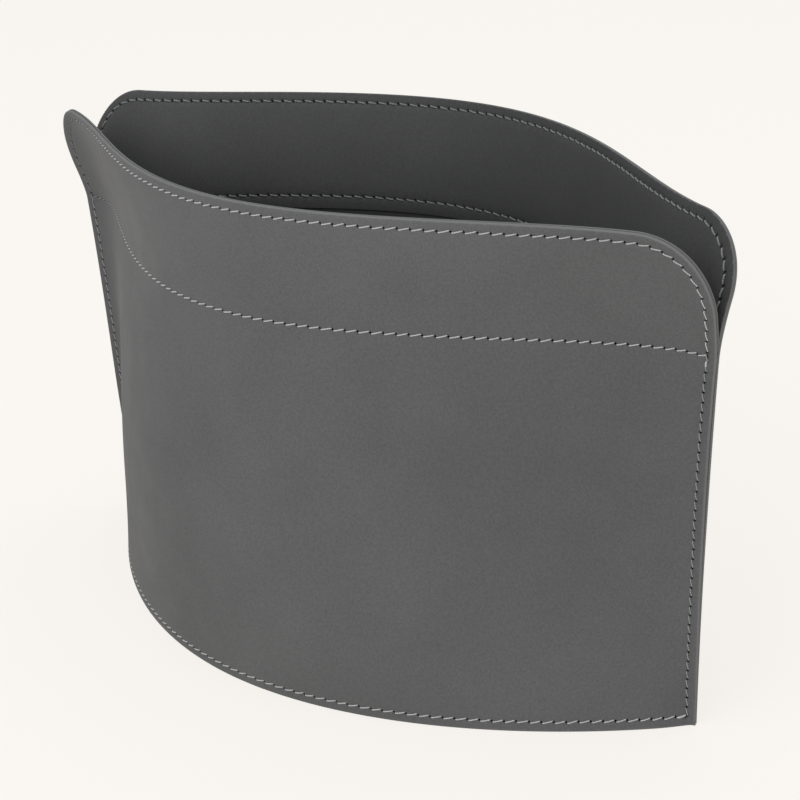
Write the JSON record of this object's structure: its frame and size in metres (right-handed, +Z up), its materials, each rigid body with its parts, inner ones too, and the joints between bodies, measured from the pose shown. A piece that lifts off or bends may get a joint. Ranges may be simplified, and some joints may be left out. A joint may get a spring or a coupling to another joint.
{
  "type": "magazine holder",
  "caption": "Free-standing open magazine holder: curved leather panels sewn along both ends, free rounded top corners that splay apart, and a stiff flat base.",
  "frame": {"origin": "middle of the footprint, on the surface the holder stands on", "axes": "+X along the length from the left end seam to the right one, -Y to the front, +Z up"},
  "size_m": [0.4518, 0.2224, 0.25],
  "materials": {
    "outer_leather": "smooth matt grey",
    "inner_leather": "smooth matt dark grey",
    "board": "raw pressed fibre",
    "thread": "waxed twisted thread"
  },
  "bodies": {
    "root": {"front_panel": "outer_leather", "back_panel": "outer_leather", "front_facing": "inner_leather", "back_facing": "inner_leather", "base_pan": "inner_leather", "base_board": "board", "front_rim_stitches": "thread", "front_facing_stitches": "thread", "front_foot_stitches": "thread", "back_rim_stitches": "thread", "back_facing_stitches": "thread", "back_foot_stitches": "thread", "left_seam_stitches": "thread", "right_seam_stitches": "thread"}
  },
  "joints": []
}
